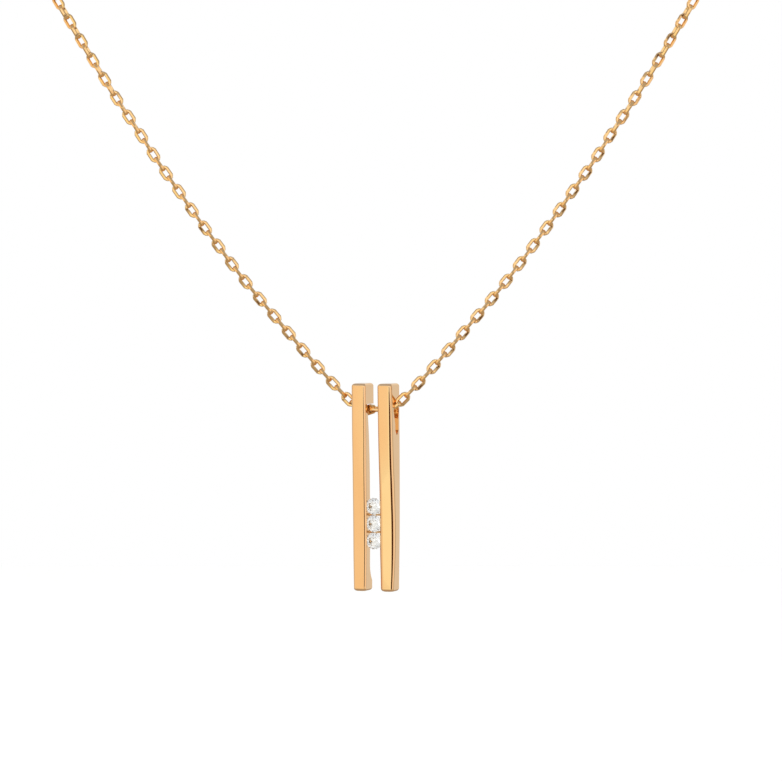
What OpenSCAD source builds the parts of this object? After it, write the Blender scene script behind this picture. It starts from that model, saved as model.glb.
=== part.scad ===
// Pendant necklace: two slim polished gold bars side by side, joined by two hidden
// rails, with three round stones held between them. A fine cable chain runs through
// a drop-shaped slot in both bars and makes a whole loop with a plain ring clasp.
// Millimetres. +X is the wearer's left seen from the front, -Y is the front, +Z is up.
// The origin is at the nape of the neck, in the middle of the clasp.

/* [Pendant bars] */
// Height of the bars
bar_h = 20.2; // [18.2:0.5:24.2]
// How far the bars' top lies above the chain
bar_above_chain = 2.57; // [2.37:0.05:2.97]
// Overall width of the two bars
pendant_w = 4.26; // [3.98:0.02:4.6]
// Gap between the bars at the top
bar_gap = 1.26; // [1.2:0.02:1.4]
// Distance from the slot's centre forward to the front faces
front_to_slot = 1.18; // [1.1:0.02:1.5]
// Distance from the slot's centre back to the rear edges
slot_to_back = 0.98; // [0.94:0.02:1.3]
// Thickness of the full-depth outer wall beside the cut-away
outer_wall = 0.5; // [0.4:0.05:0.6]
// Turn of the pendant on the chain, seen from above
pendant_yaw = 24; // [0:1:30]
// Backward lean of the hanging pendant
pendant_lean = 1.2; // [0:0.1:2]

/* [Slots] */
// Radius of the slot's round top, where the chain bears
slot_r = 0.62; // [0.6:0.01:0.66]
// Depth of the slot's pointed tip below the chain
slot_tip = 2.45; // [2.05:0.1:2.85]
// How much higher the slot's top lies at the outer face, where the chain rises
slot_rise = 0.58; // [0.4:0.02:0.6]

/* [Stones] */
// Diameter of each stone
stone_d = 1.65; // [1.5:0.05:1.7]
// Distance between the stones' centres
stone_pitch = 1.69; // [1.69:0.01:1.75]
// How far the middle stone's centre lies below the chain
stone_drop = 11.05; // [9.55:0.1:12.55]
// How far the girdles lie behind the front faces at the top
girdle_depth = 0.56; // [0.52:0.02:0.7]
// Clearance between a stone and its groove
stone_clear = 0.04; // [0.03:0.01:0.06]
// Diameter of the hidden rails that join the bars
rail_d = 0.4; // [0.3:0.02:0.44]

/* [Chain and clasp] */
// Outer width of the chain's links
chain_d = 1.0; // [0.8:0.05:1]
// Radius of the clasp ring, to the middle of its wire
clasp_r = 2.2; // [2:0.1:2.6]
// Thickness of the clasp ring's wire
clasp_wire = 1.0; // [0.8:0.05:1.2]
// Radius of the clasp's eyelets, to the middle of their wire
eyelet_r = 0.7; // [0.6:0.05:0.8]
// Thickness of the eyelets' wire
eyelet_wire = 0.4; // [0.3:0.05:0.45]

/* [Hidden] */
$fn = 64;
over = 1;

// Where the chain passes through the pendant, from the nape
PIVOT = [0, -105, -118.45];

// Bar outline seen from above, one row for each height. Columns: z below the chain,
// how far the inner face moves outward and the outer face inward from their places
// at the top, how far the front moves back and the rear edge forward, and the radii
// of the inner and outer front edges.
//          z     inner  outer  front  rear   r_in  r_out
BAR_ROWS = [
  [-2.55,   0.00,  0.00,  0.00,  0.02,  0.22, 0.30],
  [-5.55,   0.01,  0.00,  0.04,  0.06,  0.28, 0.34],
  [-8.55,   0.00, -0.02,  0.11,  0.15,  0.34, 0.37],
  [-11.55, -0.02, -0.05,  0.18,  0.28,  0.38, 0.40],
  [-14.05,  0.02, -0.05,  0.17,  0.38,  0.38, 0.40],
  [-16.05,  0.08, -0.02,  0.12,  0.40,  0.34, 0.34]
];
TOP_ROW = [0, 0, 0, 0, 0, 0.20, 0.26];
FOOT_ROW = [0, 0.11, 0.03, 0.09, 0.38, 0.26, 0.26];
rear_edge_r = 0.12;
end_r = 0.2;
corner_steps = 5;
end_steps = 3;

// The cut-away behind the inner face of each bar, seen from the side: its top edge,
// the height where its floor stands upright, how far the floor leans forward at the
// top, and the radius of the sweep that brings it back to the rear edge at the foot
cut_top = 0.55;
cut_upright = -7.55;
cut_forward = 0.56;
cut_floor_y = -0.06;
cut_foot = -14.95;
cut_foot_r = 3;
cut_steps = 8;

// How deep the slanted mouth of a slot reaches in from the outer face
mouth_depth = 0.68;
sliver = 0.01;

// Round brilliant proportions, as parts of the diameter
table_part = 0.56;
crown_part = 0.15;
girdle_part = 0.03;
pavilion_part = 0.43;
star_reach = 0.5;
lower_reach = 0.28;

// The rails pass between the stones' points, this far behind the girdles
rail_behind_girdle = 0.42;
rail_bite = 0.25;

// Right half of the chain's route from the pendant to the nape. Columns: out to the
// side, back and up from the pivot, and how far the right side lies ahead of the
// left one because the pendant is turned
ROUTE = [
  [3.2,   0.0,   1.40,   1.1],
  [3.9,   0.0,   2.25,   1.1],
  [5.2,   0.0,   3.65,   1.0],
  [6.4,   0.0,   5.05,   0.9],
  [8.7,   0.0,   7.75,   0.7],
  [11.0,  0.0,   10.45,  0.5],
  [13.2,  0.0,   13.15,  0.3],
  [15.3,  0.0,   15.95,  0.1],
  [17.3,  0.0,   18.65,  0],
  [19.2,  0.0,   21.35,  0],
  [21.1,  0.0,   24.05,  0],
  [22.9,  0.0,   26.85,  0],
  [24.7,  0.0,   29.55,  0],
  [26.4,  0.0,   32.25,  0],
  [28.1,  0.0,   35.05,  0],
  [29.7,  0.0,   37.75,  0],
  [31.3,  0.1,   40.45,  0],
  [33.4,  0.6,   44.05,  0],
  [36.0,  2.3,   48.95,  0],
  [39.0,  6.0,   54.95,  0],
  [42.2,  11.5,  61.45,  0],
  [45.4,  18.5,  68.45,  0],
  [48.4,  26.5,  75.45,  0],
  [51.0,  35.5,  82.45,  0],
  [53.0,  45.0,  89.45,  0],
  [54.0,  54.5,  95.95,  0],
  [53.8,  64.0,  101.95, 0],
  [52.0,  73.0,  107.15, 0],
  [48.4,  81.5,  111.25, 0],
  [43.0,  89.0,  114.25, 0],
  [36.0,  95.2,  116.15, 0],
  [27.5,  100.0, 117.35, 0],
  [18.0,  103.2, 118.05, 0],
  [9.5,   104.7, 118.35, 0],
  [4.5,   105.0, 118.45, 0]
];
// How far past the bars the straight run through the slots ends, and how far before
// its end a ring keeps its round section true up to the bend
straight_past = 0.27;
true_before = 0.4;
chain_sides = 8;
// A direction that the route never follows, which keeps the rings from turning
LOOP_NORMAL = [0, -0.75, 0.66];

// The eyelets overlap the clasp ring by this much
eyelet_overlap = 0.15;

half_w = pendant_w / 2;
half_gap = bar_gap / 2;
straight_end = half_w + straight_past;
straight_true = straight_end - true_before;
bar_bottom = bar_above_chain - bar_h;
girdle_y = girdle_depth - front_to_slot;
rail_y = girdle_y + rail_behind_girdle;
stone_r = stone_d / 2;

gold = "#F5C78A";
chain_gold = "#D8A860";
stone_white = "#E6E4E0";

function unit(v) = v / norm(v);

// Points on a quarter round, from the angle given
function corner(centre, r, from) =
  [for (i = [0 : corner_steps]) let (a = from + 90 * i / corner_steps)
    [centre.x + r * cos(a), centre.y + r * sin(a)]];

// One outline of the right-hand bar, drawn in by `inset` all round
function bar_outline(row, inset) =
  let (xi = half_gap + row[1] + inset,
       xo = half_w - row[2] - inset,
       yf = -front_to_slot + row[3] + inset,
       yb = slot_to_back - row[4] - inset,
       ri = row[5], ro = row[6], rr = rear_edge_r)
  concat(
    corner([xo - rr, yb - rr], rr, 0),
    corner([xi + rr, yb - rr], rr, 90),
    corner([xi + ri, yf + ri], ri, 180),
    corner([xo - ro, yf + ro], ro, 270));

// Height and inset of the rounded ends, `k` steps from the flat end
function end_drop(k) = end_r * (1 - cos(90 * k / end_steps));
function end_inset(k) = end_r * (1 - sin(90 * k / end_steps));

// All outlines of a bar from its foot to its top: [height, outline] for each
BAR_RINGS = concat(
  [for (k = [0 : end_steps]) [bar_bottom + end_drop(k), bar_outline(FOOT_ROW, end_inset(k))]],
  [for (i = [len(BAR_ROWS) - 1 : -1 : 0]) [BAR_ROWS[i][0], bar_outline(BAR_ROWS[i], 0)]],
  [for (k = [end_steps : -1 : 0]) [bar_above_chain - end_drop(k), bar_outline(TOP_ROW, end_inset(k))]]);

// Triangles of a skin over `rings` rings of `n` points each, closed at both ends
function skin_faces(rings, n) = concat(
  [[for (j = [0 : n - 1]) j]],
  [for (i = [0 : rings - 2]) for (j = [0 : n - 1])
    let (a = i * n + j, b = i * n + (j + 1) % n) [a, a + n, b + n]],
  [for (i = [0 : rings - 2]) for (j = [0 : n - 1])
    let (a = i * n + j, b = i * n + (j + 1) % n) [a, b + n, b]],
  [[for (j = [n - 1 : -1 : 0]) (rings - 1) * n + j]]);

module bar_body() {
  n = 4 * (corner_steps + 1);
  points = [for (ring = BAR_RINGS) for (p = ring[1]) [p.x, p.y, ring[0]]];
  polyhedron(points, skin_faces(len(BAR_RINGS), n), convexity = 4);
}

// Side outline of the cut-away, as [y, z] points: an arc that leans forward towards
// the slot, an upright floor, and a sweep back at the foot
module cut_away() {
  span = cut_upright - cut_top;
  lean_r = (span * span + cut_forward * cut_forward) / (2 * cut_forward);
  lean = [for (i = [0 : cut_steps]) let (z = cut_top + span * i / cut_steps, d = z - cut_upright)
    [cut_floor_y - lean_r + sqrt(lean_r * lean_r - d * d), z]];
  sweep = [for (i = [0 : cut_steps]) let (a = 180 + 55 * i / cut_steps)
    [cut_floor_y + cut_foot_r * (1 + cos(a)), cut_foot + cut_foot_r * sin(a)]];
  width = half_w - outer_wall - half_gap + over;
  translate([half_gap - over, 0, 0])
    rotate([90, 0, 90])
      linear_extrude(width)
        polygon(concat(lean, sweep, [[slot_to_back + over, cut_foot], [slot_to_back + over, cut_top]]));
}

// The drop-shaped slot through both bars: a round top with sides that run straight
// from it to the tip
module slot() {
  touch = acos(slot_r / slot_tip);
  rotate([90, 0, 90])
    linear_extrude(pendant_w + 2 * over, center = true)
      union() {
        circle(slot_r);
        polygon([
          [0, -slot_tip],
          [slot_r * sin(touch), -slot_r * cos(touch)],
          [0, 0],
          [-slot_r * sin(touch), -slot_r * cos(touch)]]);
      }
}

// Where the slot leaves the outer face its top slants upward, because the chain rises
module slot_mouth() {
  for (out = [0, slot_rise + over])
    translate([half_w - mouth_depth + out * mouth_depth / slot_rise, 0, out])
      rotate([0, 90, 0])
        cylinder(r = slot_r, h = sliver);
}

// The groove that both inner faces hold the stones' girdles in, open towards the gap
module stone_groove() {
  tip = stone_r + stone_clear;
  flat = girdle_part * stone_d / 2 + stone_clear;
  mouth = half_gap - over;
  crown_slope = crown_part / ((1 - table_part) / 2);
  pavilion_slope = 2 * pavilion_part;
  translate([0, girdle_y, -stone_drop - stone_pitch - tip])
    linear_extrude(2 * (stone_pitch + tip))
      polygon([
        [tip, -flat], [tip, flat],
        [mouth, flat + (tip - mouth) * pavilion_slope],
        [mouth, -flat - (tip - mouth) * crown_slope]]);
}

module bar() {
  difference() {
    bar_body();
    cut_away();
    slot();
    hull() slot_mouth();
    stone_groove();
  }
}

module rails() {
  for (side = [-1, 1])
    translate([0, rail_y, -stone_drop + side * stone_pitch / 2])
      rotate([0, 90, 0])
        cylinder(d = rail_d, h = bar_gap + 2 * rail_bite, center = true);
}

module on_pendant() {
  translate(PIVOT)
    rotate([0, 0, -pendant_yaw])
      rotate([pendant_lean, 0, 0])
        children();
}

module bar_frame() {
  color(gold)
    on_pendant()
      union() {
        bar();
        mirror([1, 0, 0]) bar();
        rails();
      }
}

// A round brilliant with its table towards +Z and its girdle at z = 0: a table, eight
// stars, eight kites, sixteen upper halves, a band, sixteen lower halves, eight mains
module brilliant() {
  table_r = table_part * stone_r;
  band = girdle_part * stone_d / 2;
  crown_z = band + crown_part * stone_d;
  culet_z = -band - pavilion_part * stone_d;
  star_r = table_r + star_reach * (stone_r - table_r);
  star_z = crown_z - (star_r * cos(22.5) - table_r) * (crown_z - band) / (stone_r - table_r);
  lower_r = lower_reach * stone_r;
  lower_z = culet_z + lower_r * cos(22.5) * (-band - culet_z) / stone_r;
  points = concat(
    [for (k = [0 : 7]) [table_r * cos(45 * k), table_r * sin(45 * k), crown_z]],
    [for (k = [0 : 7]) [star_r * cos(45 * k + 22.5), star_r * sin(45 * k + 22.5), star_z]],
    [for (k = [0 : 15]) [stone_r * cos(22.5 * k), stone_r * sin(22.5 * k), band]],
    [for (k = [0 : 15]) [stone_r * cos(22.5 * k), stone_r * sin(22.5 * k), -band]],
    [for (k = [0 : 7]) [lower_r * cos(45 * k + 22.5), lower_r * sin(45 * k + 22.5), lower_z]],
    [[0, 0, culet_z]]);
  star = 8;
  upper = 16;
  lower = 32;
  tip = 48;
  culet = 56;
  faces = concat(
    [[for (k = [7 : -1 : 0]) k]],
    [for (k = [0 : 7]) [k, (k + 1) % 8, star + k]],
    [for (k = [0 : 7]) [k, star + k, upper + 2 * k]],
    [for (k = [0 : 7]) [k, upper + 2 * k, star + (k + 7) % 8]],
    [for (k = [0 : 7]) [star + k, upper + 2 * k + 1, upper + 2 * k]],
    [for (k = [0 : 7]) [star + k, upper + (2 * k + 2) % 16, upper + 2 * k + 1]],
    [for (k = [0 : 15]) [upper + k, upper + (k + 1) % 16, lower + (k + 1) % 16]],
    [for (k = [0 : 15]) [upper + k, lower + (k + 1) % 16, lower + k]],
    [for (k = [0 : 7]) [lower + 2 * k, lower + 2 * k + 1, tip + k]],
    [for (k = [0 : 7]) [lower + 2 * k + 1, lower + (2 * k + 2) % 16, tip + k]],
    [for (k = [0 : 7]) [lower + 2 * k, tip + k, culet]],
    [for (k = [0 : 7]) [lower + 2 * k, culet, tip + (k + 7) % 8]]);
  polyhedron(points, faces, convexity = 2);
}

// A stone `place` steps below the middle one
module stone(place) {
  color(stone_white)
    on_pendant()
      translate([0, girdle_y, -stone_drop - place * stone_pitch])
        rotate([90, 0, 0])
          rotate([0, 0, 11.25])
            brilliant();
}

// The chain's route as a list of points, from the left end at the nape, through the
// pendant, to the right end
function along_slots(t) = [t * cos(pendant_yaw), -t * sin(pendant_yaw), 0];
function side_point(row, side) = [side * row[0], row[1] - side * row[3], row[2]];

CHAIN_POINTS = concat(
  [for (i = [len(ROUTE) - 1 : -1 : 0]) side_point(ROUTE[i], -1)],
  [for (t = [-straight_end, -straight_true, 0, straight_true, straight_end]) along_slots(t)],
  [for (row = ROUTE) side_point(row, 1)]);

// A ring of points round the route's point `i`, square to the way it runs there
function chain_ring(points, i) =
  let (before = points[max(i - 1, 0)],
       after = points[min(i + 1, len(points) - 1)],
       here = points[i],
       into = i == 0 ? unit(after - here) : unit(here - before),
       out_of = i == len(points) - 1 ? into : unit(after - here),
       way = unit(into + out_of),
       side = unit(cross(way, LOOP_NORMAL)),
       up = cross(side, way))
  [for (k = [0 : chain_sides - 1]) let (a = 360 * k / chain_sides)
    here + chain_d / 2 * (cos(a) * side + sin(a) * up)];

module chain() {
  points = [for (i = [0 : len(CHAIN_POINTS) - 1]) each chain_ring(CHAIN_POINTS, i)];
  color(chain_gold)
    translate(PIVOT)
      polyhedron(points, skin_faces(len(CHAIN_POINTS), chain_sides), convexity = 10);
}

module wire_ring(r, wire) {
  rotate([90, 0, 0])
    rotate_extrude()
      translate([r, 0])
        circle(d = wire);
}

module clasp() {
  eyelet_x = clasp_r + clasp_wire / 2 + eyelet_r + eyelet_wire / 2 - eyelet_overlap;
  color(chain_gold)
    union() {
      wire_ring(clasp_r, clasp_wire);
      for (side = [-1, 1])
        translate([side * eyelet_x, 0, 0])
          wire_ring(eyelet_r, eyelet_wire);
    }
}

bar_frame();
stone(-1);  // stone_top
stone(0);  // stone_middle
stone(1);  // stone_bottom
chain();
clasp();
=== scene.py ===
# %% [markdown]
# # A three-stone pendant on a fine cable chain
# Two slim gold bars stand side by side and hold three small round stones between
# them. A fine cable chain runs through a drop-shaped slot in both bars and closes at
# the nape with a plain ring clasp. The measured model is loaded first and is never
# changed: it says where each piece sits and what moves with what. The lesson then
# makes the bars, one chain link and its copies, and the finishes, and last the light
# that shows polished gold as gold. The stones and the clasp keep the model's shapes.

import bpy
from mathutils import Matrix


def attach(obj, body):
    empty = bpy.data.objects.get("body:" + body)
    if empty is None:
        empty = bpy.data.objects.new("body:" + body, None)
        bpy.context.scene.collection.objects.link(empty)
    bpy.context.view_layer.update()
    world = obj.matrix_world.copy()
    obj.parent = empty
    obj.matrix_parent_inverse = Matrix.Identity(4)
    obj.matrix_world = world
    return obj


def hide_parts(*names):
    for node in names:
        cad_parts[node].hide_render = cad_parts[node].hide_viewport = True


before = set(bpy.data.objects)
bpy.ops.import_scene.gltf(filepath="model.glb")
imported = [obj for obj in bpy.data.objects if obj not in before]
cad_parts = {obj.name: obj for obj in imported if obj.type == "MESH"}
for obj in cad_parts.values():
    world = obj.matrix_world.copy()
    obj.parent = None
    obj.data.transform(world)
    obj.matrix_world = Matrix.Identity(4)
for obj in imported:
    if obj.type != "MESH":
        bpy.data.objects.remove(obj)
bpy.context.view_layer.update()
print("nodes:", ", ".join(sorted(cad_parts)))

# %% [markdown]
# ## Working at a jeweller's size
# A link of this chain is one millimetre wide, and Blender's unit is a metre. Merging
# and cutting work poorly at a thousandth of a unit, so each piece is modelled with
# one unit as one millimetre and made a thousand times smaller when it is put in its
# place. Loading leaves the model's own pieces selected, and an operator acts on all
# that is selected, so everything is let go before the first piece is added.

# %% Bring in the modules and name the places
import math
import random

import bpy
import numpy as np
from mathutils import Matrix, Vector

MM = 0.001
PIVOT = Vector((0, -105, -118.45))
YAW = math.radians(-24)
LEAN = math.radians(1.2)
PENDANT_PLACE = (
    Matrix.Scale(MM, 4)
    @ Matrix.Translation(PIVOT)
    @ Matrix.Rotation(YAW, 4, "Z")
    @ Matrix.Rotation(LEAN, 4, "X")
)
NAPE_PLACE = Matrix.Scale(MM, 4)
bpy.ops.object.select_all(action="DESELECT")
print("pendant hangs at", [round(v, 1) for v in PIVOT], "mm from the nape")

# %% [markdown]
# ## The camera
# The photograph looks straight at the pendant with a long lens, from a little above:
# the tops of the bars show as a thin band and the two sides of the chain run away
# without converging. The lens is long and the distance follows from it, so that the
# frame takes in 76 mm at the pendant.

# %% Place the camera
LENS = 200
SENSOR = 36
SEEN_WIDTH = 75.9
LOOK_AT = Vector((1.49, -105, -116.64))
RISE = math.radians(1.5)

reach = SEEN_WIDTH * LENS / SENSOR
bpy.ops.object.camera_add(
    location=(LOOK_AT + reach * Vector((0, -math.cos(RISE), math.sin(RISE)))) * MM,
    rotation=(math.pi / 2 - RISE, 0, 0),
)
camera = bpy.context.object
camera.data.lens = LENS
camera.data.sensor_width = SENSOR
camera.data.clip_start = 0.01
bpy.context.scene.camera = camera
print("camera stands", round(reach), "mm from the pendant")

# %% [markdown]
# ## Selecting as by hand
# Each step below is what a modeller does with the mouse: take one piece, select some
# of its corners, edges or faces, and act on them. Here the selection is made in code,
# by place or by direction, and three small helpers do it the same way every time.

# %% Helpers to select
def only(piece):
    """Select one piece alone, so that the next operator acts on nothing else."""
    bpy.ops.object.select_all(action="DESELECT")
    piece.select_set(True)
    bpy.context.view_layer.objects.active = piece


def pick(piece, kind, test):
    """Go into edit mode with the corners, edges or faces selected that pass the test."""
    only(piece)
    bpy.ops.object.mode_set(mode="EDIT")
    bpy.ops.mesh.select_mode(type=kind)
    bpy.ops.mesh.select_all(action="DESELECT")
    bpy.ops.object.mode_set(mode="OBJECT")
    mesh = piece.data
    parts = {"VERT": mesh.vertices, "EDGE": mesh.edges, "FACE": mesh.polygons}[kind]
    for part in parts:
        part.select = bool(test(part))
    bpy.ops.object.mode_set(mode="EDIT")


def leave_edit():
    """Leave edit mode, so that the next step sees the changed mesh."""
    bpy.ops.object.mode_set(mode="OBJECT")


# %% [markdown]
# ## The two bars
# Each bar is filed from gold rod: flat front, flat sides, softly rounded long edges
# that grow rounder towards the stones, and a rear edge that tapers forward at the
# foot. A cube with bevelled edges would give one radius from end to end, so each bar
# is drawn as a jeweller would check it, section by section: a plane for each height,
# its four corners rounded, all of them bridged into one skin. Filed by hand, the two
# bars differ by a tenth of a millimetre or two, so each has its own table of
# sections. Values between the rows are averaged, so that reflections flow.

# %% Sizes of the bars, in millimetres
BAR_TOP, BAR_FOOT = 2.57, -17.63
HALF_WIDTH, HALF_GAP = 2.13, 0.63
FRONT, REAR = -1.18, 0.98
REAR_EDGE = 0.12
END_ROUND, END_STEPS = 0.28, 5
END_STRETCH, PLAIN_SECTIONS = 0.8, 28
CORNER_STEPS = (9, 11, 4, 4)
# Corners that lie closer to a place than this are taken to be at it
NEAR = 0.001

# z, inner face out, outer face in, front back, rear forward, inner and outer front
# radius, and how far the front recedes from its inner to its outer edge
LEFT_TABLE = np.array([
    (BAR_FOOT, 0.13, 0.03, 0.09, 0.38, 0.18, 0.28, 0.05),
    (-16.05, 0.11, -0.02, 0.13, 0.40, 0.18, 0.32, 0.07),
    (-14.05, 0.07, -0.06, 0.17, 0.38, 0.20, 0.32, 0.08),
    (-11.55, 0.04, -0.05, 0.17, 0.28, 0.22, 0.32, 0.08),
    (-8.55, 0.03, -0.02, 0.11, 0.15, 0.22, 0.32, 0.05),
    (-5.55, 0.01, 0.01, 0.04, 0.06, 0.22, 0.32, 0.02),
    (-2.00, -0.02, 0.00, 0.01, 0.02, 0.20, 0.32, 0.00),
    (BAR_TOP, -0.02, 0.01, 0.00, 0.00, 0.20, 0.34, 0.00),
])
RIGHT_TABLE = np.array([
    (BAR_FOOT, 0.10, 0.02, 0.10, 0.42, 0.40, 0.30, 0.02),
    (-16.05, 0.06, -0.07, 0.15, 0.54, 0.44, 0.33, 0.11),
    (-14.05, 0.00, -0.14, 0.20, 0.60, 0.48, 0.38, 0.20),
    (-12.65, 0.00, -0.17, 0.21, 0.58, 0.48, 0.40, 0.21),
    (-10.65, 0.02, -0.18, 0.21, 0.54, 0.46, 0.42, 0.18),
    (-7.30, 0.03, -0.14, 0.14, 0.38, 0.40, 0.44, 0.10),
    (-5.00, 0.03, -0.10, 0.05, 0.26, 0.34, 0.44, 0.04),
    (-3.50, 0.02, -0.09, 0.03, 0.22, 0.30, 0.44, 0.00),
    (0.00, 0.02, -0.05, 0.01, 0.12, 0.25, 0.38, 0.00),
    (BAR_TOP, 0.02, 0.00, 0.00, 0.00, 0.24, 0.32, 0.00),
])
INNER_PROFILE = {"left": 0.315, "right": 0.44}
# The table is averaged over this stretch above and below a height
EASE = np.linspace(-0.8, 0.8, 9)


def at_height(table, z):
    """The values of a table at one height, averaged over a short stretch."""
    return [
        float(np.mean(np.interp(z + EASE, table[:, 0], table[:, column])))
        for column in range(1, table.shape[1])
    ]


print("height of a bar:", round(BAR_TOP - BAR_FOOT, 2), "mm")

# %% Heights at which the sections are drawn
rounding = np.linspace(0, math.pi / 2, END_STEPS + 1)
ends = [(END_ROUND * (1 - math.cos(a)), END_ROUND * (1 - math.sin(a))) for a in rounding]
sections = [(BAR_FOOT + drop, inset) for drop, inset in ends]
plain = np.linspace(BAR_FOOT + END_STRETCH, BAR_TOP - END_STRETCH, PLAIN_SECTIONS)
sections += [(z, 0.0) for z in plain]
sections += [(BAR_TOP - drop, inset) for drop, inset in reversed(ends)]
print("sections in a bar:", len(sections))


# %% Draw one section: a plane with its four corners rounded
def draw_section(table, inner_profile, z, inset):
    """The outline of a bar at one height, set in by inset where an end is rounded."""
    inner, outer, front, rear, round_in, round_out, recede = at_height(table, z)
    x0, x1 = HALF_GAP + inner + inset, HALF_WIDTH - outer - inset
    y0, y1 = FRONT + front - recede / 2 + inset, REAR - rear - inset
    bpy.ops.mesh.primitive_plane_add(size=1, location=((x0 + x1) / 2, (y0 + y1) / 2, z))
    section = bpy.context.object
    section.scale = (x1 - x0, y1 - y0, 1)
    bpy.ops.object.transform_apply(location=True, rotation=True, scale=True)
    pick(section, "VERT", lambda v: v.co.x > x1 - NEAR and v.co.y < y0 + NEAR)
    bpy.ops.transform.translate(value=(0, recede, 0))
    leave_edit()
    corners = (
        (x0, y0, round_in, inner_profile), (x1, y0 + recede, round_out, 0.5),
        (x0, y1, REAR_EDGE, 0.5), (x1, y1, REAR_EDGE, 0.5),
    )
    for (x, y, radius, profile), steps in zip(corners, CORNER_STEPS):
        pick(section, "VERT", lambda v: math.hypot(v.co.x - x, v.co.y - y) < NEAR)
        bpy.ops.mesh.bevel(offset=radius, segments=steps, profile=profile, affect="VERTICES")
        leave_edit()
    pick(section, "FACE", lambda f: True)
    bpy.ops.mesh.delete(type="ONLY_FACE")
    leave_edit()
    return section


# %% Draw all the sections of both bars
def join(pieces, name):
    """Make one piece of several."""
    bpy.ops.object.select_all(action="DESELECT")
    for piece in pieces:
        piece.select_set(True)
    bpy.context.view_layer.objects.active = pieces[0]
    bpy.ops.object.join()
    pieces[0].name = name
    return pieces[0]


pair = []
for name, table in (("left", LEFT_TABLE), ("right", RIGHT_TABLE)):
    drawn = [draw_section(table, INNER_PROFILE[name], z, inset) for z, inset in sections]
    pair.append(join(drawn, name + "_bar"))
print("corners in the drawn sections:", [len(bar.data.vertices) for bar in pair])


# %% Bridge the sections and close both ends
def lies_in(edge, mesh, heights):
    """An edge that runs round one of the sections at these heights."""
    a, b = (mesh.vertices[i].co.z for i in edge.vertices)
    return abs(a - b) < NEAR / 100 and any(abs(a - z) < NEAR / 10 for z in heights)


def outward(piece, threshold=0.0005):
    """Merge doubled corners and turn every face outwards."""
    pick(piece, "VERT", lambda v: True)
    bpy.ops.mesh.remove_doubles(threshold=threshold)
    bpy.ops.mesh.normals_make_consistent(inside=False)
    leave_edit()


for bar in pair:
    for (low, _), (high, _) in zip(sections, sections[1:]):
        pick(bar, "EDGE", lambda e: lies_in(e, bar.data, (low, high)))
        bpy.ops.mesh.bridge_edge_loops()
        leave_edit()
    for end in (BAR_FOOT, BAR_TOP):
        pick(bar, "EDGE", lambda e: lies_in(e, bar.data, (end,)))
        bpy.ops.mesh.edge_face_add()
        leave_edit()
    outward(bar)
print("faces in the bars' skins:", [len(bar.data.polygons) for bar in pair])

# %% [markdown]
# ## Cutting the bars
# Three kinds of cut are made in the solid bars, with cutters of their own shape: the
# slot that the chain runs through, a drop with a narrow stem below and an outer mouth
# that slants upwards; the hollow behind the inner face, which makes the bars look
# light from the side; and a round seat for each stone, which grips it by its girdle.
# A boolean cut leaves true edges, and what is cut stays one solid, as it is at the
# bench. Both are cut as right-hand bars, and the left one is turned over afterwards.

# %% Helpers to cut and fuse
# A cutter stands out this far past what it cuts
CLEAR = 1


def apply_modifier(piece, kind, **settings):
    """Add one modifier, set it and apply it."""
    only(piece)
    bpy.ops.object.modifier_add(type=kind)
    modifier = piece.modifiers[-1]
    for name, value in settings.items():
        setattr(modifier, name, value)
    bpy.ops.object.modifier_apply(modifier=modifier.name)


def cut(pieces, cutter, operation="DIFFERENCE"):
    """Cut pieces with another, or fuse it to them, and clear the other away."""
    for piece in pieces:
        apply_modifier(piece, "BOOLEAN", operation=operation, solver="EXACT", object=cutter)
    bpy.data.objects.remove(cutter)


# %% The drop-shaped slot
SLOT_R, SLOT_TIP = 0.62, -2.45
SLOT_STEPS = 72
BAR_MIDDLE = (HALF_WIDTH + HALF_GAP) / 2

bpy.ops.mesh.primitive_cylinder_add(
    vertices=SLOT_STEPS, radius=SLOT_R, depth=HALF_WIDTH - HALF_GAP + 2 * CLEAR,
    location=(BAR_MIDDLE, 0, 0), rotation=(0, math.pi / 2, 0),
)
slot_cutter = bpy.context.object
bpy.ops.object.transform_apply(location=True, rotation=True, scale=True)
# What lies below the height where the drop's straight sides leave its round part is
# gathered into one corner on each side and drawn down to the tip
below = SLOT_R * SLOT_R / SLOT_TIP - 0.01
for side in (-1, 1):
    pick(slot_cutter, "VERT", lambda v: v.co.z < below and side * (v.co.x - BAR_MIDDLE) > 0)
    bpy.ops.mesh.merge(type="COLLAPSE")
    leave_edit()
pick(slot_cutter, "VERT", lambda v: v.co.z < below)
lowest = min(v.co.z for v in slot_cutter.data.vertices)
bpy.ops.transform.translate(value=(0, 0, SLOT_TIP - lowest))
leave_edit()
outward(slot_cutter)
cut(pair, slot_cutter)
print("faces after the drop:", [len(bar.data.polygons) for bar in pair])

# %% The narrow stem below it
STEM_HALF, STEM_END, STEM_BACK = 0.36, -2.0, 0.08
STEM_TAPER = 0.1

bpy.ops.mesh.primitive_cube_add(size=1, location=(BAR_MIDDLE, STEM_BACK, STEM_END / 2))
stem_cutter = bpy.context.object
stem_cutter.scale = (HALF_WIDTH - HALF_GAP + 2 * CLEAR, 2 * STEM_HALF, -STEM_END)
bpy.ops.object.transform_apply(location=True, rotation=True, scale=True)
pick(stem_cutter, "FACE", lambda f: f.normal.z < -0.9)
bpy.ops.mesh.extrude_region_move(
    TRANSFORM_OT_translate={"value": (0, 0, SLOT_TIP - STEM_END)})
bpy.ops.transform.resize(
    value=(1, STEM_TAPER, 1), center_override=(BAR_MIDDLE, STEM_BACK, SLOT_TIP))
leave_edit()
outward(stem_cutter)
cut(pair, stem_cutter)
print("faces after the stem:", [len(bar.data.polygons) for bar in pair])

# %% The slanted mouth on the outside
SLOT_RISE, MOUTH_DEPTH = 0.58, 0.68

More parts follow.
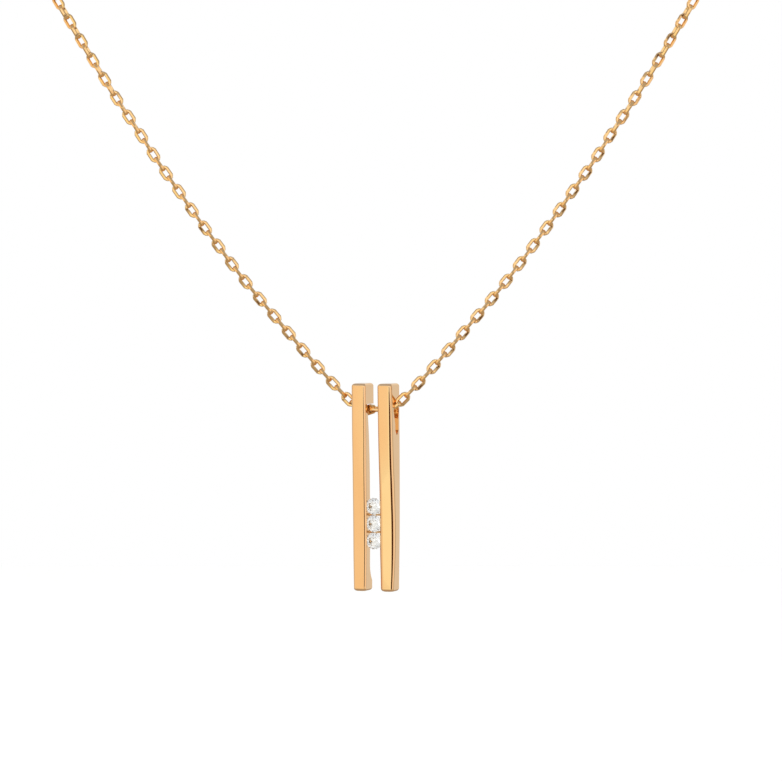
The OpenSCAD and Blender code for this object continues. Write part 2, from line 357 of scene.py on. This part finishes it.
bpy.ops.mesh.primitive_cylinder_add(
    vertices=SLOT_STEPS, radius=SLOT_R, depth=2 * CLEAR, rotation=(0, math.pi / 2, 0))
mouth_cutter = bpy.context.object
bpy.ops.object.transform_apply(location=True, rotation=True, scale=True)
for side, x, up in ((-1, HALF_WIDTH - MOUTH_DEPTH, 0),
                    (1, HALF_WIDTH + MOUTH_DEPTH, 2 * SLOT_RISE)):
    pick(mouth_cutter, "VERT", lambda v: side * v.co.x > 0)
    bpy.ops.transform.translate(value=(x - side * CLEAR, 0, up))
    leave_edit()
cut(pair, mouth_cutter)
print("faces after the mouth:", [len(bar.data.polygons) for bar in pair])

# %% The hollow behind the inner face
HOLLOW_TOP, HOLLOW_UPRIGHT, HOLLOW_FOOT, HOLLOW_END = 0.55, -7.55, -14.95, -17.45
HOLLOW_FORWARD, HOLLOW_FLOOR, SWEEP_R = 0.56, -0.06, 3
HOLLOW_DEPTH, HOLLOW_STEPS = 2, 48
OUTER_WALL = 0.5


def hollow_floor(z):
    """How far back the floor of the hollow lies at one height: it swings forward on a
    wide arc from the top, runs straight down and sweeps back at the foot."""
    if z > HOLLOW_UPRIGHT:
        span = HOLLOW_TOP - HOLLOW_UPRIGHT
        radius = (span * span + HOLLOW_FORWARD**2) / (2 * HOLLOW_FORWARD)
        return HOLLOW_FLOOR - radius + math.sqrt(radius**2 - (z - HOLLOW_UPRIGHT) ** 2)
    below = max(0, HOLLOW_FOOT - z)
    return HOLLOW_FLOOR + SWEEP_R - math.sqrt(SWEEP_R**2 - below**2)


x0, x1 = HALF_GAP - CLEAR, HALF_WIDTH - OUTER_WALL
y = REAR + CLEAR - HOLLOW_DEPTH / 2
bpy.ops.mesh.primitive_cube_add(
    size=1, location=((x0 + x1) / 2, y, (HOLLOW_TOP + HOLLOW_END) / 2)
)
hollow_cutter = bpy.context.object
hollow_cutter.scale = (x1 - x0, HOLLOW_DEPTH, HOLLOW_TOP - HOLLOW_END)
bpy.ops.object.transform_apply(location=True, rotation=True, scale=True)
mesh = hollow_cutter.data
pick(hollow_cutter, "EDGE", lambda e: abs(
    mesh.vertices[e.vertices[0]].co.z - mesh.vertices[e.vertices[1]].co.z) > 1)
bpy.ops.mesh.subdivide(number_cuts=HOLLOW_STEPS)
leave_edit()
floor_y = min(v.co.y for v in mesh.vertices)
for z in sorted({round(v.co.z, 4) for v in mesh.vertices}):
    pick(hollow_cutter, "VERT", lambda v: v.co.y < floor_y + NEAR and abs(v.co.z - z) < NEAR)
    bpy.ops.transform.translate(value=(0, hollow_floor(z) - floor_y, 0))
    leave_edit()
outward(hollow_cutter)
cut(pair, hollow_cutter)
print("faces after the hollow:", [len(bar.data.polygons) for bar in pair])

# %% The seats for the stones' girdles
STONE_R, STONE_PITCH, STONE_DROP = 0.825, 1.69, -11.05
GIRDLE_Y = -0.62
SEAT_R, SEAT_STEPS = STONE_R + 0.03, 64
SEAT_BAND = 0.06
# How far a seat narrows and how far it runs on, towards the front and the rear
SEAT_FRONT, SEAT_REAR = (0.45, 0.32), (0.80, 0.69)

for place in (-1, 0, 1):
    height = STONE_DROP + place * STONE_PITCH
    bpy.ops.mesh.primitive_cylinder_add(
        vertices=SEAT_STEPS, radius=SEAT_R, depth=2 * SEAT_BAND,
        location=(0, GIRDLE_Y, height), rotation=(math.pi / 2, 0, 0),
    )
    seat_cutter = bpy.context.object
    bpy.ops.object.transform_apply(location=True, rotation=True, scale=True)
    for side, (narrower, further) in ((-1, SEAT_FRONT), (1, SEAT_REAR)):
        pick(seat_cutter, "FACE", lambda f: side * f.normal.y > 0.9)
        bpy.ops.mesh.extrude_region_move(
            TRANSFORM_OT_translate={"value": (0, side * further, 0)})
        share = 1 - narrower / SEAT_R
        bpy.ops.transform.resize(
            value=(share, 1, share), center_override=(0, GIRDLE_Y, height))
        leave_edit()
    outward(seat_cutter)
    cut(pair, seat_cutter)
print("faces after the seats:", [len(bar.data.polygons) for bar in pair])

# %% [markdown]
# ## Two bars joined by two rails
# The crisp edges that the cuts have left are broken by a narrow bevel, as they are by
# the polishing wheel, and the left bar is turned over, as in a mirror. Two short
# rails behind the stones join the bars, and solder flows into the corner round each
# foot, so a rail is a small cylinder that is widened where it meets the bars. Solder
# makes all of it one piece of metal, so the rails are fused to the bars.

# %% Break the sharp edges and turn the left bar over
EDGE_BREAK, BREAK_FROM = 0.03, math.radians(50)

for bar in pair:
    apply_modifier(
        bar, "BEVEL", width=EDGE_BREAK, segments=2, limit_method="ANGLE",
        angle_limit=BREAK_FROM, use_clamp_overlap=True,
    )
pick(pair[0], "VERT", lambda v: True)
bpy.ops.transform.resize(value=(-1, 1, 1), center_override=(0, 0, 0))
leave_edit()
bars = join(pair, "bars")
outward(bars, threshold=0.0001)
print("faces in both bars:", len(bars.data.polygons))

# %% Solder in the rails
RAIL_R, RAIL_STEPS, RAIL_BITE = 0.11, 24, 0.25
RAIL_Y = GIRDLE_Y + 0.5
SOLDER, FOOT_WIDER = 0.12, 1.5

for side in (-1, 1):
    height = STONE_DROP + side * STONE_PITCH / 2
    bpy.ops.mesh.primitive_cylinder_add(
        vertices=RAIL_STEPS, radius=RAIL_R, depth=2 * (HALF_GAP + RAIL_BITE),
        location=(0, RAIL_Y, height), rotation=(0, math.pi / 2, 0),
    )
    rail = bpy.context.object
    bpy.ops.object.transform_apply(location=True, rotation=True, scale=True)
    for x in (-HALF_GAP + SOLDER, HALF_GAP - SOLDER):
        pick(rail, "FACE", lambda f: True)
        bpy.ops.mesh.bisect(plane_co=(x, RAIL_Y, height), plane_no=(1, 0, 0))
        leave_edit()
    pick(rail, "VERT", lambda v: abs(v.co.x) > HALF_GAP)
    bpy.ops.transform.resize(
        value=(1, FOOT_WIDER, FOOT_WIDER), center_override=(0, RAIL_Y, height))
    leave_edit()
    outward(rail)
    cut([bars], rail, "UNION")
print("faces with the rails:", len(bars.data.polygons))

# %% Smooth the bars and put them in their place
BARS_SMOOTH = math.radians(35)


def settle(piece, place):
    """Put a finished piece in its place, with the place kept in its mesh."""
    piece.matrix_world = place
    only(piece)
    bpy.ops.object.transform_apply(location=True, rotation=True, scale=True)


only(bars)
bpy.ops.object.shade_smooth_by_angle(angle=BARS_SMOOTH)
apply_modifier(bars, "WEIGHTED_NORMAL", keep_sharp=True)
settle(bars, PENDANT_PLACE)
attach(bars, "pendant")
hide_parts("bar_frame")
print("faces in the finished bars:", len(bars.data.polygons))

# %% [markdown]
# ## One link
# The chain is a cable chain whose links are cut into small planes: seen face on a
# link is an oval with straight sides, seen edge on it has a waist and wider ends. A
# ring of round wire would miss both, so a six-sided section is spun into a ring of
# sixteen steps with a ridge facing out, and the ring is pulled apart into a link. Its
# sides are then thickened inwards, its ends widened across the link, and all of it
# made a little deeper. Few faces matter here, as the link is used more than four
# hundred times.

# %% Spin a link and stretch it
WIRE = 0.27
LINK_WIDTH, LINK_LENGTH = 1.04, 1.63
LINK_STEPS, WIRE_SIDES = 16, 6
SIDE_THICK, END_THICK, DEEP = 1.25, 1.4, 1.35
# A corner belongs to an end where it lies more than this share as far along as across
END_SHARE = 0.8
LINK_SMOOTH = math.radians(40)

half_step = math.pi / LINK_STEPS
ring_r = LINK_WIDTH / 2 / math.cos(half_step) - WIRE / 2
bpy.ops.mesh.primitive_circle_add(
    vertices=WIRE_SIDES, radius=WIRE / 2, location=(0, ring_r, 0), rotation=(0, math.pi / 2, 0)
)
link = bpy.context.object
link.name = "link"
bpy.ops.object.transform_apply(location=True, rotation=True, scale=True)
pick(link, "VERT", lambda v: True)
bpy.ops.mesh.spin(steps=LINK_STEPS, angle=2 * math.pi, center=(0, 0, 0), axis=(0, 0, 1))
bpy.ops.mesh.select_all(action="SELECT")
bpy.ops.mesh.remove_doubles(threshold=NEAR)
bpy.ops.transform.rotate(value=half_step, orient_axis="Z", center_override=(0, 0, 0))
leave_edit()
stretch = (LINK_LENGTH - LINK_WIDTH) / 2
for side in (-1, 1):
    pick(link, "VERT", lambda v: side * v.co.x > 0)
    bpy.ops.transform.translate(value=(side * stretch, 0, 0))
    leave_edit()
for side in (-1, 1):
    pick(link, "VERT", lambda v: abs(v.co.x) - stretch < END_SHARE * side * v.co.y)
    bpy.ops.transform.resize(
        value=(1, SIDE_THICK, 1), center_override=(0, side * LINK_WIDTH / 2, 0))
    leave_edit()
pick(link, "VERT", lambda v: abs(v.co.x) - stretch > END_SHARE * abs(v.co.y))
bpy.ops.transform.resize(value=(1, 1, END_THICK), center_override=(0, 0, 0))
leave_edit()
pick(link, "VERT", lambda v: True)
bpy.ops.transform.resize(value=(1, 1, DEEP), center_override=(0, 0, 0))
leave_edit()
outward(link)
only(link)
bpy.ops.object.shade_smooth_by_angle(angle=LINK_SMOOTH)
print("a link is", [round(v, 2) for v in link.dimensions], "mm")
print("faces in a link:", len(link.data.polygons))

# %% [markdown]
# ## The way the chain takes
# The chain runs through both slots, hangs a little between the bars, rises along two
# nearly straight lines, passes over the shoulders and meets the clasp at the nape.
# The points are those of the measured model, so the links lie in the space that it
# keeps for them. A curve with automatic handles turns the points into one smooth
# line, and the links are then laid along it as a real chain lies: each joint is one
# link's length from the last, in a straight line, and every second link is turned a
# quarter.

# %% Points of the way, in millimetres from the pivot
# Columns: out to the side, back, up, and how far the right side lies ahead
ROUTE = [
    (3.10, 0.0, 1.47, 1.06), (3.85, 0.0, 2.25, 1.08), (5.2, 0.0, 3.69, 1.0),
    (6.4, 0.0, 5.05, 0.9), (8.7, 0.0, 7.75, 0.7), (11.0, 0.0, 10.45, 0.5),
    (13.2, 0.0, 13.15, 0.3), (15.3, 0.0, 15.95, 0.1), (17.3, 0.0, 18.65, 0),
    (19.2, 0.0, 21.35, 0), (21.1, 0.0, 24.05, 0), (22.9, 0.0, 26.85, 0),
    (24.7, 0.0, 29.55, 0), (26.4, 0.0, 32.25, 0), (28.1, 0.0, 35.05, 0),
    (29.7, 0.0, 37.75, 0), (31.3, 0.1, 40.45, 0), (33.4, 0.6, 44.05, 0),
    (36.0, 2.3, 48.95, 0), (39.0, 6.0, 54.95, 0), (42.2, 11.5, 61.45, 0),
    (45.4, 18.5, 68.45, 0), (48.4, 26.5, 75.45, 0), (51.0, 35.5, 82.45, 0),
    (53.0, 45.0, 89.45, 0), (54.0, 54.5, 95.95, 0), (53.8, 64.0, 101.95, 0),
    (52.0, 73.0, 107.15, 0), (48.4, 81.5, 111.25, 0), (43.0, 89.0, 114.25, 0),
    (36.0, 95.2, 116.15, 0), (27.5, 100.0, 117.35, 0), (18.0, 103.2, 118.05, 0),
    (9.5, 104.7, 118.35, 0), (3.95, 105.0, 118.45, 0),
]
# Joints of the links inside the pendant: along the slots, and up
SLOT_JOINTS = [(-1.72, 0.0), (-1.12, -0.15), (-0.36, 0.08), (0.5, 0.04), (1.54, 0.04)]
FIRST_JOINT = (2.26, 0.98, 0.62)
# The side that lies ahead also lies a little higher
AHEAD_RISE = 0.026
CURVE_STEPS = 60


def along_slots(t, up):
    """A place inside the pendant: so far along the line through both slots, and up."""
    return PIVOT + Vector((t * math.cos(YAW), t * math.sin(YAW), up))


def smooth_line(points):
    """Corners, close together, of one smooth curve through the points."""
    curve = bpy.data.curves.new("way", "CURVE")
    curve.dimensions = "3D"
    curve.resolution_u = CURVE_STEPS
    spline = curve.splines.new("BEZIER")
    spline.bezier_points.add(len(points) - 1)
    for knot, point in zip(spline.bezier_points, points):
        knot.co = point
        knot.handle_left_type = knot.handle_right_type = "AUTO"
    way = bpy.data.objects.new("way", curve)
    bpy.context.scene.collection.objects.link(way)
    mesh = way.evaluated_get(bpy.context.evaluated_depsgraph_get()).to_mesh()
    line = [v.co.copy() for v in mesh.vertices]
    bpy.data.objects.remove(way)
    return line


def half_way(side):
    """The smooth line from the pendant to the clasp on one side, 1 right and -1 left."""
    x, ahead, up = FIRST_JOINT
    points = [PIVOT + Vector((side * x, -side * ahead, up + side * AHEAD_RISE * ahead))]
    for x, back, up, ahead in ROUTE:
        points.append(
            PIVOT + Vector((side * x, back - side * ahead, up + side * AHEAD_RISE * ahead))
        )
    return smooth_line(points)


# %% Walk along the way, one link's length at a time
PITCH = 1.086
# The links up to a little above the photograph's top edge keep this pitch exactly
SEEN_LINKS = 52
# The pitch of the others is found by halving the span between these shares of it
PITCH_LOW, PITCH_HIGH, HALVINGS = 0.98, 1.02, 40


def walk(line, pitches):
    """Joints along a line: each lies one pitch, in a straight line, from the last."""
    joints, index = [line[0]], 0
    for pitch in pitches:
        here = joints[-1]
        while index < len(line) - 1 and (line[index + 1] - here).length < pitch:
            index += 1
        if index >= len(line) - 1:
            return joints, False
        a, b = line[index], line[index + 1]
        near, far = (a - here).length, (b - here).length
        share = (pitch - near) / (far - near)
        joints.append(a.lerp(b, min(1, max(0, share))))
    return joints, True


def joints_to_clasp(line):
    """Joints from the pendant to the clasp, with the pitch of the hidden stretch
    eased by less than a hundredth so that the last link reaches the clasp."""
    length = sum((b - a).length for a, b in zip(line, line[1:]))
    count = round(length / PITCH)
    low, high = PITCH * PITCH_LOW, PITCH * PITCH_HIGH
    for _ in range(HALVINGS):
        pitch = (low + high) / 2
        pitches = [PITCH] * SEEN_LINKS + [pitch] * (count - SEEN_LINKS)
        joints, fits = walk(line, pitches)
        low, high = (pitch, high) if fits else (low, pitch)
    joints, _ = walk(line, [PITCH] * SEEN_LINKS + [low] * (count - SEEN_LINKS))
    print("links on this side:", count, "with a hidden pitch of", round(low, 4))
    return joints


right = joints_to_clasp(half_way(1))
left = joints_to_clasp(half_way(-1))
through = [left[0]] + [along_slots(*joint) for joint in SLOT_JOINTS] + [right[0]]
print("slot links:", [round((b - a).length, 3) for a, b in zip(through, through[1:])])

# %% [markdown]
# ## Laying the links
# Every link is a copy with its own mesh, laid from joint to joint. A link that faces
# the camera is followed by one turned a quarter about the way. Inside the pendant the
# chain carries no load, so six links crowd there, pushed together at odd angles. The
# chain also rolls a little: the links near the top edge of the photograph are turned
# some twenty degrees, and over the hidden stretch they turn until the last one hooks
# squarely into the clasp's eyelet. A seeded draw gives each link its own small lie.

# %% Lay every link
ARM_ROLL = math.radians(20)
ROLL_START, ROLL_FULL = 26, 44
# The turn of each link inside the pendant, from 0, which faces the camera
SLOT_ROLLS = [math.radians(v) for v in (65, 130, 15, 105, 20, 100)]
LIE = math.radians(2.5)
lies = random.Random(11)


def carried(normal, before, after):
    """A direction carried along from one link to the next without any twist."""
    return before.rotation_difference(after) @ normal


def arm_roll(index):
    """How far the chain has rolled at one link, rising smoothly from none to all."""
    share = min(1, max(0, (index - ROLL_START) / (ROLL_FULL - ROLL_START)))
    return ARM_ROLL * share * share * (3 - 2 * share)


def lay(a, b, normal, roll):
    """A copy of the link between two joints, turned by roll about its length."""
    along = (b - a).normalized()
    facing = Matrix.Rotation(roll, 3, along) @ normal
    facing = (facing - along * facing.dot(along)).normalized()
    turn = Matrix((along, facing.cross(along), facing)).transposed().to_4x4()
    copy = link.copy()
    copy.data = link.data.copy()
    copy.data.transform(NAPE_PLACE @ Matrix.Translation((a + b) / 2) @ turn)
    bpy.context.scene.collection.objects.link(copy)
    return copy


links = []
front = Vector((0, -1, 0))
# The links inside the pendant
for index, (a, b) in enumerate(zip(through, through[1:])):
    along = (b - a).normalized()
    facing = (front - along * front.dot(along)).normalized()
    links.append(lay(a, b, facing, SLOT_ROLLS[index] + lies.uniform(-LIE, LIE)))
# The links on each side, from the pendant up to the clasp
for side, joints in ((1, right), (-1, left)):
    steps = [(b - a).normalized() for a, b in zip(joints, joints[1:])]
    normal = (front - steps[0] * front.dot(steps[0])).normalized()
    normals = [normal]
    for before, after in zip(steps, steps[1:]):
        normals.append(carried(normals[-1], before, after))
    # How far the last link must still turn to lie level in the clasp's eyelet
    last = len(steps) - 1
    quarter_last = math.pi / 2 if last % 2 else 0
    ends_facing = Matrix.Rotation(quarter_last, 3, steps[-1]) @ normals[-1]
    up = Vector((0, 0, 1))
    twist = math.atan2(ends_facing.cross(up).dot(steps[-1]), ends_facing.dot(up))
    twist -= side * arm_roll(last)
    twist = (twist + math.pi / 2) % math.pi - math.pi / 2
    for index, (a, b) in enumerate(zip(joints, joints[1:])):
        # The hidden links share that turn among them
        hidden = max(0, (index - SEEN_LINKS) / (last - SEEN_LINKS))
        roll = (math.pi / 2 if index % 2 else 0) + side * arm_roll(index) + hidden * twist
        links.append(lay(a, b, normals[index], roll + lies.uniform(-LIE, LIE)))
    print("twist up to the clasp:", round(math.degrees(twist)), "degrees")

# %% Join the links into one chain and put it in its place
count = len(links)
chain = join(links, "cable_chain")
bpy.data.objects.remove(link)
settle(chain, Matrix.Identity(4))
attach(chain, "necklace")
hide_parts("chain")
print(count, "links with", len(chain.data.polygons), "faces")

# %% [markdown]
# ## Finishes
# A finish is what the light makes of a surface, so each one starts from the real
# thing. Colours are written as they are read from a screen and turned into the
# linear values that the sockets take by one function, and one function adds a node
# with its settings and links.

# %% Two helpers for materials
def linear(code):
    """A colour written as #RRGGBB, in the linear values that the sockets take."""
    shares = [int(code[i:i + 2], 16) / 255 for i in (1, 3, 5)]
    return tuple(s / 12.92 if s <= 0.04045 else ((s + 0.055) / 1.055) ** 2.4 for s in shares) + (1,)


# Sockets of a Mix node that mixes colours: the two colours and the result
FROM_COLOUR, TO_COLOUR, MIXED = 6, 7, 2


def add_node(tree, kind, settings=None, inputs=None):
    """Add a node. A socket given as an input is linked, and anything else is set."""
    made = tree.nodes.new(kind)
    for name, value in (settings or {}).items():
        setattr(made, name, value)
    for name, value in (inputs or {}).items():
        if isinstance(value, bpy.types.NodeSocket):
            tree.links.new(value, made.inputs[name])
        else:
            made.inputs[name].default_value = value
    return made


def new_material(name):
    """A new material with its node tree, its shader and the place on the piece."""
    material = bpy.data.materials.new(name)
    material.use_nodes = True
    tree = material.node_tree
    shader = tree.nodes["Principled BSDF"]
    place = add_node(tree, "ShaderNodeTexCoord").outputs["Object"]
    return material, tree, shader, place


# %% [markdown]
# ### Hand-polished 18 carat gold
# The bars are rolled and filed 18 carat yellow gold, brought to a mirror on a felt
# wheel. What the eye gets is almost only reflection, coloured warm. A wheel never
# leaves a perfect plane: it leaves a soft waviness over a few millimetres and hairline
# marks along the bar, so the gloss breathes a little from place to place. Real marks
# are about a hundredth of a millimetre wide, too fine to show here, so they are drawn
# about ten times as coarse.

# %% Make the polished gold
GOLD, GOLD_DEEP = "#FBD4A2", "#F8CD98"
# A polishing mark is this many times as long as wide, and this deep in millimetres
MARK_STRETCH, MARK_DEPTH = 14, 0.002


def per_metre(size_mm):
    """The scale of a pattern whose grain is this many millimetres."""
    return 1 / (size_mm * MM)


def make_gold(name, light, deep, wave_mm, mark_mm, gloss, bump):
    """Polished gold: drifting colour, a breathing gloss and hairline polishing marks."""
    material, tree, shader, place = new_material(name)
    drift = add_node(tree, "ShaderNodeTexNoise", inputs={
        "Vector": place, "Scale": per_metre(wave_mm), "Detail": 2})
    colour = add_node(tree, "ShaderNodeMix", {"data_type": "RGBA"}, {
        "Factor": drift.outputs["Fac"], FROM_COLOUR: linear(light), TO_COLOUR: linear(deep)})
    tree.links.new(colour.outputs[MIXED], shader.inputs["Base Color"])
    across, along = per_metre(mark_mm), per_metre(mark_mm * MARK_STRETCH)
    stretched = add_node(tree, "ShaderNodeMapping", inputs={
        "Vector": place, "Scale": (across, across, along)})
    marks = add_node(tree, "ShaderNodeTexNoise", inputs={
        "Vector": stretched.outputs["Vector"], "Scale": 1, "Detail": 3, "Roughness": 0.6})
    rough = add_node(tree, "ShaderNodeMapRange", inputs={
        "Value": marks.outputs["Fac"], "To Min": gloss[0], "To Max": gloss[1]})
    relief = add_node(tree, "ShaderNodeBump", inputs={
        "Height": marks.outputs["Fac"], "Strength": bump, "Distance": MARK_DEPTH * MM})
    tree.links.new(rough.outputs["Result"], shader.inputs["Roughness"])
    tree.links.new(relief.outputs["Normal"], shader.inputs["Normal"])
    shader.inputs["Metallic"].default_value = 1
    return material


polished_gold = make_gold(
    "Hand-polished 18 carat gold", GOLD, GOLD_DEEP,
    wave_mm=3, mark_mm=0.12, gloss=(0.02, 0.07), bump=0.2,
)
bars.data.materials.clear()
bars.data.materials.append(polished_gold)
print("the bars are of", polished_gold.name)

# %% [markdown]
# ### Flat-cut gold wire
# The links are drawn gold wire, soldered, and cut flat with a diamond tool, which
# leaves bright small planes. Between them the wire keeps the softer gloss of tumble
# polishing, and deep places look redder because gold is seen in gold there. The
# clasp is of the same gold, tumbled and not cut, so its gloss is soft all over.

# %% Make the chain's gold and finish the clasp with it
CHAIN_GOLD, CHAIN_GOLD_DEEP = "#FBD399", "#F7C988"

cut_gold = make_gold(
    "Flat-cut 18 carat gold wire", CHAIN_GOLD, CHAIN_GOLD_DEEP,
    wave_mm=0.8, mark_mm=0.15, gloss=(0.08, 0.16), bump=0.2,
)
chain.data.materials.clear()
chain.data.materials.append(cut_gold)
clasp_gold = make_gold(
    "Tumbled 18 carat gold clasp", CHAIN_GOLD, CHAIN_GOLD_DEEP,
    wave_mm=1.5, mark_mm=0.2, gloss=(0.08, 0.16), bump=0.3,
)


def dress(node, material):
    """Give a node of the measured model its finish."""
    if node.material_slots:
        for slot in node.material_slots:
            slot.link = "OBJECT"
            slot.material = material
    else:
        node.data.materials.append(material)


dress(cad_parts["clasp"], clasp_gold)
print("the chain is of", cut_gold.name, "and the clasp of", clasp_gold.name)

# %% [markdown]
# ### Brilliant-cut colourless stone
# The stones are clear and bend light far more than glass does, and their flat facets
# throw it back in small patches of white, grey and pale colour. The facets are real
# faces of the measured model, and so flat that they need no pattern of their own. The
# finish is clear stone with the high bending of light that such stones have, and a
# trace of grey-green that drifts through it.

# %% Make the stone
material, tree, shader, place = new_material("Brilliant-cut colourless stone")
haze = add_node(tree, "ShaderNodeTexNoise", inputs={
    "Vector": place, "Scale": per_metre(0.4), "Detail": 2})
tint = add_node(tree, "ShaderNodeMix", {"data_type": "RGBA"}, {
    "Factor": haze.outputs["Fac"], FROM_COLOUR: linear("#FFFFFF"), TO_COLOUR: linear("#F1F4F0")})
tree.links.new(tint.outputs[MIXED], shader.inputs["Base Color"])
shader.inputs["Transmission Weight"].default_value = 1
shader.inputs["IOR"].default_value = 2.417
shader.inputs["Roughness"].default_value = 0
for name in ("stone_top", "stone_middle", "stone_bottom"):
    dress(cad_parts[name], material)
print("the stones are of", material.name)

# %% [markdown]
# ## Floor and light
# Polished gold has no look of its own: it shows what stands round it. The necklace
# hangs over a floor of matt white paper in an even white light, and cards round it
# give each side of the bars something to show. Walls, a grey ceiling, a light strip
# at the horizon and a low table stand for the photographer's room and shade the
# chain's small planes. Closer by, a warm and a pale card, with a strip that fades from
# one into the other, colour the fronts, a rose and a cool one the sides, and one dark
# card draws the thin lines along the edges. The cards are seen only in the gold and
# the stones, never by the camera.

# %% The floor
FLOOR_SIZE, FLOOR_HEIGHT = 6, -0.34

bpy.ops.mesh.primitive_plane_add(size=FLOOR_SIZE, location=(0, 0, FLOOR_HEIGHT))
floor = bpy.context.object
floor.name = "floor"
material, tree, shader, place = new_material("Pale paper floor")
# Paper fibres are far too fine to show here, so the grain is drawn at this many mm
grain = add_node(tree, "ShaderNodeTexNoise", inputs={"Vector": place, "Scale": per_metre(3)})
paper = add_node(tree, "ShaderNodeMix", {"data_type": "RGBA"}, {
    "Factor": grain.outputs["Fac"], FROM_COLOUR: linear("#FFFFFF"), TO_COLOUR: linear("#FBFBFA")})
tree.links.new(paper.outputs[MIXED], shader.inputs["Base Color"])
shader.inputs["Roughness"].default_value = 0.9
shader.inputs["Specular IOR Level"].default_value = 0.1
floor.data.materials.append(material)
print("the floor lies", round(-FLOOR_HEIGHT / MM), "mm under the nape")

# %% The even white light
world = bpy.data.worlds.new("Even white light")
bpy.context.scene.world = world
world.use_nodes = True
sky = world.node_tree.nodes["Background"]
sky.inputs["Color"].default_value = (1, 1, 1, 1)
sky.inputs["Strength"].default_value = 1.0
bpy.ops.object.light_add(type="AREA", location=(0, -0.1, 1.6))
lamp = bpy.context.object
lamp.data.shape = "DISK"
lamp.data.size = 1.2
lamp.data.energy = 12
lamp.visible_glossy = False
bpy.context.scene.view_settings.view_transform = "Standard"
print("the lamp gives", lamp.data.energy, "watts")


# %% A helper to hang a card
CARD_AIM = (PIVOT + Vector((0, 0, -7.5))) * MM


def add_card(name, turn, rise, width, height, code, strength, distance, far_code=None):
    """A card that faces the middle of the bars. turn is the angle from the camera, to
    the right, rise the angle upwards, and a second colour lets the card fade into it."""
    a, b = math.radians(turn), math.radians(rise)
    away = Vector((math.sin(a) * math.cos(b), -math.cos(a) * math.cos(b), math.sin(b)))
    bpy.ops.mesh.primitive_plane_add(size=1, location=CARD_AIM + away * distance)
    card = bpy.context.object
    card.name = name
    card.rotation_euler = away.to_track_quat("Z", "Y").to_euler()
    card.scale = (width, height, 1)
    material = bpy.data.materials.new(name)
    material.use_nodes = True
    tree = material.node_tree
    tree.nodes.clear()
    glow = add_node(tree, "ShaderNodeEmission", inputs={
        "Color": linear(code), "Strength": strength})
    add_node(tree, "ShaderNodeOutputMaterial", inputs={"Surface": glow.outputs["Emission"]})
    if far_code:
        place = add_node(tree, "ShaderNodeTexCoord").outputs["Object"]
        across = add_node(tree, "ShaderNodeSeparateXYZ", inputs={"Vector": place}).outputs["X"]
        share = add_node(tree, "ShaderNodeMapRange", inputs={
            "Value": across, "From Min": -0.5, "From Max": 0.5})
        fade = add_node(tree, "ShaderNodeMix", {"data_type": "RGBA"}, {
            "Factor": share.outputs["Result"],
            FROM_COLOUR: linear(code), TO_COLOUR: linear(far_code)})
        tree.links.new(fade.outputs[MIXED], glow.inputs["Color"])
    card.data.materials.append(material)
    card.visible_camera = False
    card.visible_shadow = False
    card.visible_diffuse = False
    # Only the dark card is seen through the stones, where it makes some facets grey
    card.visible_transmission = name == "dark_card"


# %% The cards
# Name, turn, rise, width, height, colour, strength, distance, second colour if any
CARDS = [
    ("front_high", 0, 12.5, 3.2, 0.6, "#FFFFFF", 1.1, 1.3),
    ("front_low", 0, -12.5, 3.2, 0.6, "#FFFFFF", 0.56, 1.3),
    ("ceiling", 0, 90, 2.0, 2.0, "#E8EAF6", 0.6, 0.75),
    ("left_wall", -90, 0, 2.6, 1.2, "#FFF6F0", 0.7, 1.2),
    ("right_wall", 90, 0, 2.6, 2.4, "#FFFFFF", 0.5, 1.2),
    ("back_wall", 180, 0, 3.2, 2.4, "#FFFFFF", 0.18, 1.3),
    ("horizon_card", 180, 8, 2.8, 1.0, "#FFFFFF", 0.85, 1.1),
    ("table", 0, -90, 3.0, 3.0, "#FFF4E6", 0.46, 0.19),
    ("warm_card", -66, 0, 0.33, 0.34, "#FFEDD3", 0.98, 0.45),
    ("pale_card", -29, 0, 0.27, 0.34, "#FFFFEB", 1.06, 0.45),
    ("blend_card", -46, 0, 0.05, 0.34, "#FFEDD3", 1.0, 0.44, "#FFFFEB"),
    ("dark_card", 9, -6.0, 0.35, 0.05, "#4C2909", 1.0, 0.45),
    ("rose_card", 52, 0, 0.38, 0.34, "#FFF3EC", 0.98, 0.45),
    ("side_card", 125, 0, 0.42, 0.34, "#F9FAFF", 0.8, 0.45),
]
for values in CARDS:
    add_card(*values)
print("cards:", len(CARDS))
